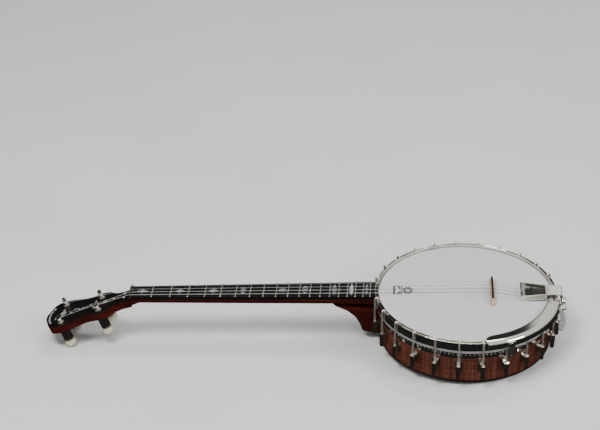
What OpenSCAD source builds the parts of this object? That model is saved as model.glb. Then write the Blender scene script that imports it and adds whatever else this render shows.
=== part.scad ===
/* [Scale and strings] */
// Vibrating string length, nut to bridge
scale_len = 584; // [480:1:680]
// Number of frets on the fingerboard
fret_count = 19; // [17:1:19]
// Distance between neighbouring strings at the nut
nut_spacing = 8.2; // [7:0.1:9]
// Distance between neighbouring strings at the bridge
bridge_spacing = 10.5; // [9:0.1:12]
// Diameter of the wound (thickest) string
string_d = 0.7; // [0.5:0.05:0.9]

/* [Pot] */
// Radius of the pot's outer wall
rim_r = 139.2; // [116:0.1:168]
// Thickness of the wooden rim's wall
rim_wall = 14; // [11:0.5:17]
// Height of the wooden rim
rim_h = 42; // [36:1:52]
// Height of the cap glued under the rim
cap_h = 3; // [2:0.5:5]
// Height of the square perforated tube of the tone ring
tube_h = 18; // [15:0.5:22]
// Height of the tension hoop
hoop_h = 15.9; // [13:0.1:19]
// Number of tension hooks
hook_count = 24; // [20:2:24]
// Angle from the neck's centre line to the first hook
neck_gap = 12; // [11:0.5:15]
// Wire diameter of a tension hook
hook_d = 3; // [2.4:0.1:3.4]
// Diameter of the two rods across the inside of the pot
rod_d = 8; // [6.5:0.5:9.5]

/* [Neck] */
// Width of the fingerboard at the nut
nut_w = 31.6; // [29:0.1:38]
// Width of the fingerboard at its pot end
board_w = 43.6; // [40:0.1:50]
// Thickness of the fingerboard
board_t = 5.5; // [4.5:0.1:7]
// Depth of the wooden neck below the fingerboard, at the nut
neck_depth = 13; // [11:0.5:16]
// Slope of the neck against the drum head
neck_pitch = 2.6; // [2:0.1:3.2]
// Thickness of the nut
nut_t = 5; // [4:0.5:6]

/* [Peghead] */
// Angle of the peghead against the fingerboard
peghead_tilt = 17; // [13:0.5:18]
// Length of the peghead
peghead_len = 152; // [140:1:182]
// Thickness of the peghead with its overlay
peghead_t = 14; // [12:0.5:17]
// Diameter of the round tuner buttons
button_d = 19; // [16:0.5:23]
// Outer diameter of a tuner's gear case
case_d = 16; // [14.5:0.5:19]

/* [Bridge and tailpiece] */
// Height of the bridge
bridge_h = 12.7; // [11.5:0.1:16]
// Length of the bridge over its outer feet
bridge_len = 73; // [66:1:88]
// Distance from the pot's centre to the bridge
bridge_x = 42; // [35:1:50]
// Distance from the pot's centre to the tailpiece's front bar
tail_front = 88; // [78:1:96]

/* [Armrest] */
// Angle where the armrest begins, measured from the tail
arm_from = -79; // [-82:1:-70]
// Angle where the armrest ends, measured from the tail
arm_to = -12; // [-16:1:-12]
// Reach of the armrest inward from the hoop's outer face
arm_w = 14.5; // [11:0.5:18]

/* [Hidden] */
$fn = 64;

// Heights, measured from the face of the drum head
lip_h = 3.9;
outer_lip_h = 2.7;
hoop_z = lip_h - hoop_h;
flesh_h = 5;
tube_z = hoop_z - tube_h;
rim_z = tube_z - rim_h;
base_z = rim_z - cap_h;

// Drum head and the ring parts around it
skin_t = 0.3;
skin_turn = 3.6;
skin_r = rim_r + 1;
hoop_in = skin_r + 0.4;
hoop_out = rim_r + 6.9;
inner_lip_t = 0.8;
outer_lip_t = 1.2;
tube_w = 11;
tube_wall = 1.6;
tube_out = rim_r + 0.2;
tube_hole_d = 4;
tube_holes = 24;
rim_in = rim_r - rim_wall;

// Tension hooks, shoes and nuts
hook_r = hook_d / 2;
hook_turn = 2.5;
lip_mid = hoop_out - outer_lip_t / 2;
rod_r = lip_mid + hook_turn;
hook_top = outer_lip_h - 0.75;
shoe_z = tube_z - rim_h / 3;
shoe_h = 12;
lug_r = hook_r + 2.7;
shoe_bolt_r = 2;
bolt_gap = 0.25;
hook_nut_h = 12;
hook_nut_r = hook_r + 2.17;
hook_end = shoe_z - shoe_h / 2 - hook_nut_h + 2;
step = (360 - 2 * neck_gap) / (hook_count - 1);
function hook_angle(i) = 180 + neck_gap + i * step;

// Rods and bolts across the pot
bolt_r = 2.8;
rod_upper = tube_z - rim_h * 0.28;
rod_lower = tube_z - rim_h * 0.74;
rod_zs = [rod_upper, rod_lower];
rod_bore = 16;
neck_nut_t = 5;
rod_start = -(rim_in - neck_nut_t - 4);
rod_stop = rim_in - 0.4;
tail_plate_t = 2;

// Neck: the nut's front edge is the neck's own origin, on the fingerboard's face
nut_x = bridge_x - scale_len;
board_end = hoop_out + 0.6;
board_run = -board_end - nut_x;
board_len = board_run / cos(neck_pitch);
board_rise = 1;
nut_z = board_rise - board_run * tan(neck_pitch);
function fret_pos(n) = scale_len * (1 - pow(2, -n / 12));
// a short scale or a large pot leaves room for fewer frets than asked for
frets_made = min(fret_count, floor(-12 * log(1 - (board_len - 2) / scale_len) / log(2)));
function board_half(u) = (nut_w + (board_w - nut_w) * u / board_len) / 2;
fret_slot = 0.6;
fret_h = 1.1;
fret_w = 1.9;
shaft_stop = board_run - 66;
heel_depth = neck_depth + 8;
nut_rise = 1.7;
inlay_frets = [1, 3, 5, 7, 10, 12, 15, 17, 19];
inlay_t = 0.8;

// Truss rod, in a slot under the fingerboard, with its nut under a cover behind the nut
truss_z = -board_t - 6.5;
truss_r = 2.4;
rod_slot = 2 * truss_r + 1.2;
cover_screws = [[-9, 6], [-9, -6], [-29, 0]];
cover_screw_len = 6;
cover_screw_r = 1.1;

// Peghead: its own origin is on its face, behind the nut
face_drop = board_t + 1.3;
overlay_t = 1.6;
total_tilt = neck_pitch + peghead_tilt;
post_near = 54.5;
post_far = 121;
post_y_near = 18;
post_y_far = 25;
posts = [[-post_near, post_y_near], [-post_near, -post_y_near], [-post_far, post_y_far],
    [-post_far, -post_y_far]];
// String order from the treble side (+Y) to the bass side (-Y), by post
post_of = [posts[0], posts[2], posts[3], posts[1]];
function string_y(k, gap) = (2.5 - k) * gap;

// Tuner, along the post from the face down: case behind the wood, then the round button
post_r = 3;
post_h = 13.5;
shank_r = 4.8;
bushing_r = shank_r + 1.5;
case_h = 19;
case_wall = 1.4;
case_gap = 0.4;
gear_h = 5;
carrier_h = 2;
sun_r = 2.2;
shaft_r = 2.5;
button_gap = 3.5;
button_h = 9;
button_round = 2.4;
button_top = -peghead_t - case_h - button_gap;
carrier_top = -peghead_t - case_wall - case_gap;
gear_z = carrier_top - carrier_h - gear_h - 0.3;
ring_r = case_d / 2 - case_wall;
planet_gap = 0.15;
planet_r = (ring_r - sun_r) / 2 - planet_gap;
planet_at = (ring_r + sun_r) / 2;
wind_z = 6;
wind_groove = 0.5;
wind_r = post_r - wind_groove + string_d / 2 + 0.02;
string_gap = 0.15;

// Armrest and tailpiece
arm_under = hook_top + hook_turn + hook_r + 0.4;
arm_t = 1.2;
arm_in = hoop_out - arm_w;
arm_out = rod_r + hook_r + 3.6;
arm_drop = 11;
tail_top = 9.6;
tail_t = 1.4;
tail_half = 14;
tail_bar_half = 20;
tail_bar_r = 1.8;
tail_bar_z = 6.4;
tail_window = 38;
tail_back = hoop_out + 6.6;
tail_tab = 7;
tail_hang = -9;
anchor_z = 3.3;
bracket_out = tail_back + tail_tab / 2;

// Where the frame's origin lies: under the middle of the whole object, at its lowest point
peg_x = nut_x - nut_t * cos(neck_pitch) + face_drop * sin(neck_pitch);
peg_z = nut_z - nut_t * sin(neck_pitch) - face_drop * cos(neck_pitch);
low_x = -(post_far + button_d / 2 - button_round);
low_z = button_top - button_h + button_round;
lift_z = -(peg_z + low_x * sin(total_tilt) + low_z * cos(total_tilt) - button_round);
tip_x = peg_x - peghead_len * cos(total_tilt);
end_x = tail_back + tail_tab;
shift_x = -(tip_x + end_x) / 2;

// Frames
module on_pot() translate([shift_x, 0, lift_z]) children();
module on_neck() on_pot() translate([nut_x, 0, nut_z]) rotate([0, -neck_pitch, 0]) children();
module on_peghead()
    on_neck() translate([-nut_t, 0, -face_drop]) rotate([0, -peghead_tilt, 0]) children();
module at_angle(a, r, z) rotate([0, 0, a]) translate([r, 0, z]) children();
module at_hooks() for (i = [0 : hook_count - 1]) rotate([0, 0, hook_angle(i)]) children();
module at_post(p) on_peghead() translate([p[0], p[1], 0]) children();

// Curves
function arc(c, r, from, to, n) =
    [for (i = [0 : n]) let (a = from + (to - from) * i / n) [c[0] + r * cos(a), c[1] + r * sin(a)]];
function bend(p0, p1, p2, p3, t) =
    0.5 * ((2 * p1) + (p2 - p0) * t + (2 * p0 - 5 * p1 + 4 * p2 - p3) * t * t
    + (3 * p1 - p0 - 3 * p2 + p3) * t * t * t);
function smooth(k, n) = [for (i = [0 : len(k) - 2]) for (j = [0 : n - 1])
    bend(k[max(i - 1, 0)], k[i], k[i + 1], k[min(i + 2, len(k) - 1)], j / n)];
function mirrored(pts) = concat(pts, [for (i = [len(pts) - 1 : -1 : 0]) [pts[i][0], -pts[i][1]]]);
module ring(r_out, r_in, z, h) translate([0, 0, z]) difference() {
    cylinder(r = r_out, h = h, $fn = 180);
    translate([0, 0, -1]) cylinder(r = r_in, h = h + 2, $fn = 180);
}
module bar_x(r, x0, x1, z) translate([x0, 0, z]) rotate([0, 90, 0]) cylinder(r = r, h = x1 - x0);
module hex_x(r, x0, x1, z) translate([x0, 0, z]) rotate([0, 90, 0]) cylinder(r = r, h = x1 - x0, $fn = 6);

// --- Pot ---------------------------------------------------------------------------------
module rim_shell() color("saddlebrown") on_pot() difference() {
    ring(rim_r, rim_in, rim_z, rim_h);
    at_hooks() bar_x(shoe_bolt_r + bolt_gap, rim_in - 2, rim_r + 2, shoe_z);
    for (z = rod_zs) bar_x(bolt_r + bolt_gap, -rim_r - 2, rim_r + 2, z);
}
module rim_cap() color("black") on_pot() ring(rim_r, rim_in, base_z, cap_h);
module tone_tube() color("silver") on_pot() difference() {
    ring(tube_out, tube_out - tube_w, tube_z, tube_h);
    ring(tube_out - tube_wall, tube_out - tube_w + tube_wall, tube_z + tube_wall, tube_h - 2 * tube_wall);
    for (i = [0 : tube_holes - 1]) rotate([0, 0, (i + 0.5) * 360 / tube_holes])
        bar_x(tube_hole_d / 2, tube_out - tube_w - 1, tube_out - tube_w / 2, tube_z + tube_h / 2);
}
module tone_hoop() color("silver") on_pot() rotate_extrude($fn = 180) {
    top_r = skin_turn - skin_t - 0.5;
    translate([skin_r - skin_turn, -skin_t - top_r]) circle(r = top_r);
    translate([skin_r - skin_turn - top_r, hoop_z]) square([2 * top_r, -hoop_z - skin_t - top_r]);
}
module drum_head() color("whitesmoke") on_pot() {
    turn = [skin_r - skin_turn, -skin_turn];
    rotate_extrude($fn = 180) polygon(concat([[0, -skin_t], [0, 0]], arc(turn, skin_turn, 90, 0, 12),
        arc(turn, skin_turn - skin_t, 0, 90, 12)));
}
module head_skirt() color("whitesmoke") on_pot()
    ring(skin_r, skin_r - skin_t, hoop_z - flesh_h / 2, flesh_h / 2 - hoop_z - skin_turn);
module flesh_hoop() color("lightgray") on_pot() ring(skin_r + 4, skin_r, hoop_z - flesh_h, flesh_h);
module tension_hoop() color("silver") on_pot() {
    groove_floor = hook_top - hook_r - 0.3;
    lip = inner_lip_t / 2;
    rotate_extrude($fn = 180) polygon(concat([[hoop_in, hoop_z]],
        arc([hoop_in + lip, lip_h - lip], lip, 180, 0, 8),
        [[hoop_in + inner_lip_t, groove_floor], [hoop_out - outer_lip_t, groove_floor]],
        arc([hoop_out - outer_lip_t / 2, outer_lip_h - outer_lip_t / 2], outer_lip_t / 2, 180, 0, 8),
        [[hoop_out, hoop_z + 0.5], [hoop_out - 0.5, hoop_z]]));
}
module tension_hooks() color("silver") on_pot() at_hooks() translate([lip_mid, 0, hook_top]) {
    rotate([90, 0, 0]) rotate_extrude(angle = 180) translate([hook_turn, 0]) circle(r = hook_r);
    translate([-hook_turn, 0, -1]) cylinder(r = hook_r, h = 1);
    translate([hook_turn, 0, hook_end - hook_top]) cylinder(r = hook_r, h = hook_top - hook_end);
}
module bracket_shoes() color("silver") on_pot() at_hooks() {
    foot_t = 2.2;
    foot = [12, 12, shoe_h + 6];
    difference() {
        union() {
            translate([rod_r, 0, shoe_z - shoe_h / 2]) cylinder(r = lug_r, h = shoe_h);
            translate([rim_r + foot_t / 2, -2.6, shoe_z - 4.5]) cube([rod_r - rim_r - foot_t / 2, 5.2, 9]);
            intersection() {
                ring(rim_r + foot_t, rim_r, shoe_z - foot[2] / 2, foot[2]);
                translate([rim_r, 0, shoe_z]) cube(foot, center = true);
            }
        }
        translate([rod_r, 0, shoe_z - shoe_h]) cylinder(r = hook_r + 0.1, h = 2 * shoe_h);
        bar_x(shoe_bolt_r, rim_r - 1, rim_r + 4.4, shoe_z);
    }
}
module shoe_bolts() color("silver") on_pot() at_hooks() {
    bar_x(shoe_bolt_r, rim_in - 2, rim_r + 4, shoe_z);
    hex_x(4.2, rim_in - 3.4, rim_in - 0.4, shoe_z);
}
module hook_nuts() color("silver") on_pot() at_hooks() {
    top = shoe_z - shoe_h / 2;
    translate([rod_r, 0, top - hook_nut_h]) difference() {
        cylinder(r = hook_nut_r, h = hook_nut_h, $fn = 6);
        translate([0, 0, 1.5]) cylinder(r = hook_r + 0.05, h = hook_nut_h);
    }
}
module coordinator_rods() color("silver") on_pot() for (z = rod_zs) difference() {
    bar_x(rod_d / 2, rod_start, rod_stop, z);
    bar_x(bolt_r, rod_start - 1, rod_start + rod_bore, z);
    bar_x(bolt_r, rod_stop - rod_bore, rod_stop + 1, z);
}
module neck_bolts() color("silver") on_pot() for (z = rod_zs)
    bar_x(bolt_r, -rim_r - 18, rod_start + rod_bore - 2, z);
module neck_bolt_nuts() color("silver") on_pot() for (z = rod_zs) difference() {
    union() {
        hex_x(5.6, rod_start - neck_nut_t - 0.3, rod_start - 0.3, z);
        bar_x(7, rod_start - neck_nut_t - 1.7, rod_start - neck_nut_t - 0.3, z);
    }
    bar_x(bolt_r, rod_start - 20, rod_start + 20, z);
}
module tail_bolts() color("silver") on_pot() for (z = rod_zs) {
    bar_x(bolt_r, rod_stop - rod_bore + 2, rim_r + tail_plate_t + 1, z);
    hex_x(5.6, rim_r + tail_plate_t + 0.6, rim_r + tail_plate_t + 5, z);
}

// --- Neck --------------------------------------------------------------------------------
function heel_level(i) = [[-24, 76, 20], [-34, 56, 17.5], [-48, 40, 15.5], [-62, 32, 14], [rim_z, 28, 13]][i];
module heel_slice(i) {
    s = heel_level(i);
    translate([-rim_r - s[1] + s[2], 0, s[0]]) cylinder(r = s[2], h = 0.5, $fn = 32);
    translate([-rim_r - 4, -s[2], s[0]]) cube([8, 2 * s[2], 0.5]);
}
module neck_slab(u, half, depth) translate([u, 0, -board_t]) rotate([0, 90, 0]) linear_extrude(0.5)
    polygon([for (a = [-90 : 10 : 90]) [depth * cos(a), half * sin(a)]]);
module peghead_outline() {
    f = (peghead_len - 152) / 152;
    keys = [[0, 16], [-16, 15.5], [-29, 18.5], [-40, 26.5], [-54, 29.5], [-78, 26], [-100, 32], [-120, 36],
        [-134, 34.5], [-142, 29], [-146, 21], [-149.5, 12], [-152, 5], [-152, 0]];
    stretched = [for (k = keys) [k[0] * (k[0] < -125 ? 1 + f : 1), k[1]]];
    polygon(mirrored(smooth(stretched, 5)));
}
module neck_wood() color("maroon") {
    difference() {
        union() {
            on_neck() hull() {
                neck_slab(4, board_half(4) - 0.2, neck_depth);
                neck_slab(shaft_stop, board_half(shaft_stop) - 0.2, heel_depth - 4);
            }
            on_neck() hull() {
                neck_slab(shaft_stop, board_half(shaft_stop) - 0.2, heel_depth - 4);
                neck_slab(board_len + 8, board_half(board_len) - 0.2, heel_depth);
            }
            for (i = [0 : 3]) on_pot() hull() {
                heel_slice(i);
                heel_slice(i + 1);
            }
            on_peghead() translate([0, 0, -peghead_t]) linear_extrude(peghead_t - overlay_t)
                peghead_outline();
            on_neck() hull() {
                neck_slab(10, board_half(10) - 0.2, neck_depth);
                translate([-nut_t, 0, -face_drop]) rotate([0, -peghead_tilt, 0])
                    translate([-16, -14.5, 0.15 - peghead_t]) cube([1, 29, peghead_t - 4]);
            }
        }
        on_pot() translate([0, 0, base_z - 1]) cylinder(r = rim_r + 0.05, h = rim_h + 10, $fn = 180);
        on_pot() translate([0, 0, tube_z - 0.1]) cylinder(r = tube_out + 0.05, h = tube_h + 2, $fn = 180);
        on_pot() translate([0, 0, hoop_z - flesh_h - 3])
            cylinder(r = hoop_out + 0.5, h = 60, $fn = 180);
        on_pot() for (z = rod_zs) bar_x(bolt_r, -rim_r - 19, -rim_r + 5, z);
        on_neck() translate([-nut_t - 1, -nut_w, -board_t]) cube([board_len + 40, 2 * nut_w, 30]);
        on_peghead() translate([-2 * peghead_len, -45, -overlay_t]) cube([2 * peghead_len, 90, 20]);
        on_neck() translate([-nut_t - 14, -rod_slot / 2, truss_z - rod_slot / 2])
            cube([board_len - 20, rod_slot, 20]);
        for (p = posts) at_post(p) translate([0, 0, -peghead_t - 1]) cylinder(r = shank_r, h = peghead_t);
        on_peghead() for (p = cover_screws)
            translate([p[0], p[1], -cover_screw_len]) cylinder(r = cover_screw_r, h = 10);
    }
}
module heel_cap() color("black") on_pot() {
    s = heel_level(4);
    difference() {
        translate([0, 0, rim_z - 2]) union() {
            translate([-rim_r - s[1] + s[2], 0, 0]) cylinder(r = s[2], h = 2);
            translate([-rim_r - s[1] + s[2], -s[2], 0]) cube([s[1] - s[2] + 4, 2 * s[2], 2]);
        }
        translate([0, 0, rim_z - 3]) cylinder(r = rim_r, h = 4, $fn = 180);
    }
}
module board_shape() polygon([[0, -nut_w / 2], [board_len + 1, -board_half(board_len + 1)],
    [board_len + 1, board_half(board_len + 1)], [0, nut_w / 2]]);
// Generic pearl figures: a star of thin rays, a double scroll and a cross of bars
module burst(r) for (i = [0 : 7]) rotate(45 * i) {
    tip = i % 2 == 0 ? r : r * 0.66;
    polygon([[-0.4, -0.7], [tip * 0.45, -0.55], [tip - 1.6, -0.4], [tip, 0],
        [tip - 1.6, 0.4], [tip * 0.45, 0.55], [-0.4, 0.7]]);
    translate([r * 0.62, 0]) rotate(45) square(i % 2 == 0 ? 2.2 : 1.2, center = true);
}
module loop(r) difference() {
    circle(r = r, $fn = 12);
    circle(r = r - 0.9, $fn = 12);
}
module scroll(half) {
    eye = min(3.4, half * 0.3);
    leaf = half - 2 * eye;
    polygon([[0, 2.4], [1.7, 0], [0, -2.4], [-1.7, 0]]);
    for (s = [-1, 1]) scale([1, s]) {
        translate([0, eye + 1.2]) loop(eye);
        translate([0, 2 * eye + 0.6]) polygon([[-0.6, 0], [-2.6, leaf * 0.4], [-0.5, leaf * 0.5],
            [0, leaf - 0.6], [0.5, leaf * 0.5], [2.6, leaf * 0.4], [0.6, 0]]);
        for (t = [-1, 1]) translate([t * (eye + 0.6), 1.6]) rotate(45) square(1.5, center = true);
    }
}
module flake(r) {
    for (i = [0 : 3]) rotate(45 * i) square([2 * r, 0.9], center = true);
    for (i = [0 : 7]) rotate(45 * i) translate([r * 0.7, 0]) square([0.8, 3], center = true);
}
module inlay_shape(n) {
    mid = (fret_pos(n) + fret_pos(n - 1)) / 2;
    half = board_half(mid) - 4;
    squeeze = min(1, (fret_pos(n) - fret_pos(n - 1) - 4) / 13);
    translate([mid, 0]) {
        if (n == 1) scale([1.5, 1]) burst(7);
        if (n == 3 || n == 5) burst(8);
        if (n == 7) scroll(10);
        if (n == 10) scale([squeeze, 1]) flake(7);
        if (n == 12) scroll(12);
        if (n == 15 || n == 19) scale([squeeze, 1]) scroll(half);
        if (n == 17) polygon([[0, half], [3.4, half * 0.3], [2.6, 0], [3.4, -half * 0.3], [0, -half],
            [-3.4, -half * 0.3], [-2.6, 0], [-3.4, half * 0.3]]);
    }
}
module fingerboard() color("black") difference() {
    on_neck() translate([0, 0, -board_t]) linear_extrude(board_t) board_shape();
    on_pot() translate([0, 0, -60]) cylinder(r = board_end, h = 120, $fn = 180);
    on_neck() for (n = [1 : frets_made])
        translate([fret_pos(n) - fret_slot / 2, -40, -2]) cube([fret_slot, 80, 4]);
    on_neck() translate([0, 0, -inlay_t]) linear_extrude(2)
        for (n = inlay_frets) if (n <= frets_made) inlay_shape(n);
}
module frets() color("silver") on_neck() for (n = [1 : frets_made]) {
    half = board_half(fret_pos(n)) - 0.2;
    crown = concat(arc([0, -0.05], fret_h + 0.05, 150, 30, 8), [[fret_w / 2, 0]]);
    translate([fret_pos(n) - fret_slot / 2, -half, -1.8]) cube([fret_slot, 2 * half, 2.2]);
    translate([fret_pos(n), half, 0]) rotate([90, 0, 0]) linear_extrude(2 * half)
        polygon(concat([[-fret_w / 2, 0]], crown));
}
module position_inlays() color("ivory") on_neck() translate([0, 0, -inlay_t]) linear_extrude(inlay_t)
    for (n = inlay_frets) if (n <= frets_made) inlay_shape(n);
module string_nut() color("ivory") on_neck() difference() {
    translate([-nut_t, -nut_w / 2, -board_t]) cube([nut_t, nut_w, board_t + nut_rise]);
    for (k = [1 : 4]) translate([-nut_t - 1, string_y(k, nut_spacing), nut_rise - 0.3]) rotate([0, 90, 0])
        cylinder(r = string_d / 2 + 0.25, h = nut_t + 2);
}
module truss_rod() color("gray") on_neck() {
    translate([-nut_t - 2, 0, truss_z]) rotate([0, 90, 0]) cylinder(r = truss_r, h = board_len - 40);
    translate([-nut_t - 7, 0, truss_z]) rotate([0, 90, 0]) cylinder(r = truss_r + 0.2, h = 5, $fn = 6);
}
module cover_shape() polygon(mirrored(smooth([[-4, 9], [-14, 8.5], [-22, 5], [-30, 4.2], [-35, 0]], 5)));
module truss_rod_cover() color("black") on_peghead() difference() {
    linear_extrude(1.5) cover_shape();
    for (p = cover_screws) translate([p[0], p[1], -1]) cylinder(r = cover_screw_r, h = 4);
}
module truss_cover_screws() color("silver") on_peghead() for (p = cover_screws) translate([p[0], p[1], 0]) {
    translate([0, 0, -cover_screw_len]) cylinder(r = cover_screw_r, h = cover_screw_len + 1.5);
    translate([0, 0, 1.5]) cylinder(r1 = 2, r2 = 1.2, h = 0.9);
}
// A wavy stem with leaves between two scrolls, and a garland along the tip
module stem(from, to, n) {
    wave = [for (i = [0 : n]) let (t = i / n) [from + (to - from) * t, 2.2 * sin(720 * t)]];
    polygon(concat([for (p = wave) [p[0], p[1] + 0.5]],
        [for (i = [n : -1 : 0]) [wave[i][0], wave[i][1] - 0.5]]));
    for (i = [2 : 4 : n - 2]) translate(wave[i]) rotate(i % 8 == 2 ? 50 : -50)
        polygon([[0, -0.6], [3.6, -1.5], [6, 0], [3.6, 1.5], [0, 0.6]]);
}
module peghead_inlay_shape() {
    stem(-70, -112, 24);
    translate([-63, 0]) scroll(13);
    translate([-121, 0]) scroll(13);
    translate([-121, 0]) burst(7);
    translate([-44, 0]) burst(5);
    x_tip = -peghead_len + 6;
    polygon(concat([for (a = [-60 : 10 : 60]) [x_tip + 12 - 13 * cos(a), 24 * sin(a)]],
        [for (a = [60 : -10 : -60]) [x_tip + 12 - 10.5 * cos(a), 24 * sin(a)]]));
    for (a = [-56, -28, 0, 28, 56]) translate([x_tip + 12 - 11.8 * cos(a), 24 * sin(a)]) rotate(45)
        square(4, center = true);
}
module peghead_overlay() color("black") on_peghead() difference() {
    translate([0, 0, -overlay_t]) linear_extrude(overlay_t) peghead_outline();
    for (p = posts) translate([p[0], p[1], -5]) cylinder(r = shank_r, h = 8);
    translate([0, 0, -inlay_t]) linear_extrude(2) peghead_inlay_shape();
    for (p = cover_screws) translate([p[0], p[1], -4]) cylinder(r = cover_screw_r, h = 8);
    translate([-18, -rod_slot / 2, -5]) cube([19, rod_slot, 8]);
}
module peghead_inlays() color("ivory") on_peghead() translate([0, 0, -inlay_t]) linear_extrude(inlay_t)
    peghead_inlay_shape();

// --- Bridge ------------------------------------------------------------------------------
bridge_cap = 3;
bridge_top_len = 60;
module bridge_base() color("burlywood") on_pot() translate([bridge_x, 0, 0]) intersection() {
    rotate([90, 0, 90]) translate([0, 0, -10]) linear_extrude(20) {
        h = bridge_h - bridge_cap;
        l = bridge_len / 2;
        difference() {
            polygon([[-l, 0], [-l, 2], [-bridge_top_len / 2, h], [bridge_top_len / 2, h], [l, 2], [l, 0]]);
            for (s = [-1, 1]) translate([s * l / 2, 0]) {
                circle(r = h * 0.42);
                translate([-l / 2 + 6, -1]) square([l - 16, h * 0.3 + 1]);
            }
        }
    }
    rotate([90, 0, 0]) translate([0, 0, -60]) linear_extrude(120)
        polygon([[-4.2, 0], [4.2, 0], [1.6, bridge_h - bridge_cap], [-1.6, bridge_h - bridge_cap]]);
}
module bridge_top() color("black") on_pot() translate([bridge_x, 0, bridge_h - bridge_cap]) difference() {
    translate([-1.6, -bridge_top_len / 2, 0]) cube([3.2, bridge_top_len, bridge_cap]);
    for (k = [1 : 4]) translate([-3, string_y(k, bridge_spacing), bridge_cap]) rotate([0, 90, 0])
        cylinder(r = string_d / 2 + 0.1, h = 6);
}

// --- Tailpiece ---------------------------------------------------------------------------
screw_x = tail_front + tail_window + 5;
screw_y = -2.7;
module tailpiece_frame() color("silver") on_pot() difference() {
    rear = tail_front + tail_window;
    taper = atan((tail_bar_half - tail_half) / tail_window);
    wing_z = 3.4;
    union() {
        for (s = [-1, 1]) {
            translate([tail_front, s * tail_bar_half, 0]) rotate([0, 0, -s * taper])
                translate([0, -s * 0.7 - 0.7, wing_z]) cube([tail_window + 3, 1.4, tail_top - wing_z]);
            translate([0, 0, wing_z]) linear_extrude(1.2) polygon([
                [tail_front + 7, s * (tail_bar_half - 1.6)], [rear + 2, s * (tail_half - 0.6)],
                [rear + 6, s * (tail_half + 1)], [rear + 6, s * (tail_bar_half - 0.8)],
                [tail_front + 9, s * (tail_bar_half + 1.4)]]);
        }
        translate([tail_front, -tail_bar_half, tail_bar_z]) rotate([-90, 0, 0])
            cylinder(r = tail_bar_r, h = 2 * tail_bar_half);
        translate([tail_front - 0.6, -tail_bar_half, tail_bar_z]) cube([1.2, 2 * tail_bar_half, 3]);
        translate([rear, -tail_half, tail_top - tail_t]) cube([tail_back - 3 - rear, 2 * tail_half, tail_t]);
        for (i = [-2 : 2]) translate([rear + 4, i * 5.4, tail_top - 0.3]) rotate([0, 90, 0])
            cylinder(r = 0.9, h = tail_back - 5 - rear);
        translate([tail_back - 3, tail_half, tail_top - 3]) rotate([90, 0, 0]) rotate_extrude(angle = 90)
            translate([3 - tail_t, 0]) square([tail_t, 2 * tail_half]);
        translate([tail_back - tail_t, -tail_half, tail_hang])
            cube([tail_t, 2 * tail_half, tail_top - 3 - tail_hang]);
        translate([tail_back - tail_t, -8, tail_hang]) cube([tail_tab + tail_t - 0.2, 16, tail_t]);
    }
    translate([tail_front - 4, -1.7, tail_bar_z - 0.2]) cube([8, 3.4, 5]);
    translate([bracket_out, 0, tail_hang - 5]) cylinder(r = 2.2, h = 10);
    translate([screw_x, screw_y, 0]) cylinder(r = 1.3, h = 20);
}
function pin_at(k) = [tail_front + (k % 2 == 0 ? 10 : 17), string_y(k, 7)];
module tailpiece_anchor() color("silver") on_pot() difference() {
    union() {
        translate([tail_front + 6, -tail_half + 2.2, anchor_z - 0.6])
            cube([tail_window - 2, 2 * tail_half - 4.4, 1.2]);
        for (k = [1 : 4]) translate([pin_at(k)[0], pin_at(k)[1], anchor_z]) cylinder(r = 1, h = 3.6);
        translate([screw_x - 4, -7, anchor_z - 0.6]) cube([8, 10, tail_top - tail_t - anchor_z + 0.6]);
    }
    translate([screw_x, screw_y, 0]) cylinder(r = 1.15, h = 20);
}
module tailpiece_screw() color("silver") on_pot() translate([screw_x, screw_y, 0]) {
    translate([0, 0, tail_top]) cylinder(r1 = 1.7, r2 = 1.2, h = 0.9);
    translate([0, 0, anchor_z]) cylinder(r = 1.15, h = tail_top - anchor_z + 0.1);
}
module tailpiece_bracket() color("silver") on_pot() difference() {
    union() {
        translate([tube_out + 0.1, -9, rod_upper - 9])
            cube([rim_r + tail_plate_t - tube_out - 0.1, 18, -rod_upper + 9 + hoop_z - flesh_h - 2.5]);
        translate([tube_out + 0.1, -9, hoop_z - flesh_h - 4.5]) cube([bracket_out + 5 - tube_out, 18, 2]);
    }
    translate([bracket_out, 0, -60]) cylinder(r = 2.2, h = 60);
    bar_x(bolt_r, rim_r - 2, rim_r + 8, rod_upper);
}
module tailpiece_bolt() color("silver") on_pot() translate([bracket_out, 0, 0]) {
    bottom = hoop_z - flesh_h - 14;
    translate([0, 0, bottom]) cylinder(r = 2, h = tail_hang + tail_t + 1 - bottom);
    translate([0, 0, tail_hang + tail_t]) cylinder(r = 3.3, h = 3);
    translate([0, 0, hoop_z - flesh_h - 8.5]) cylinder(r = 4.2, h = 4, $fn = 6);
}

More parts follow.
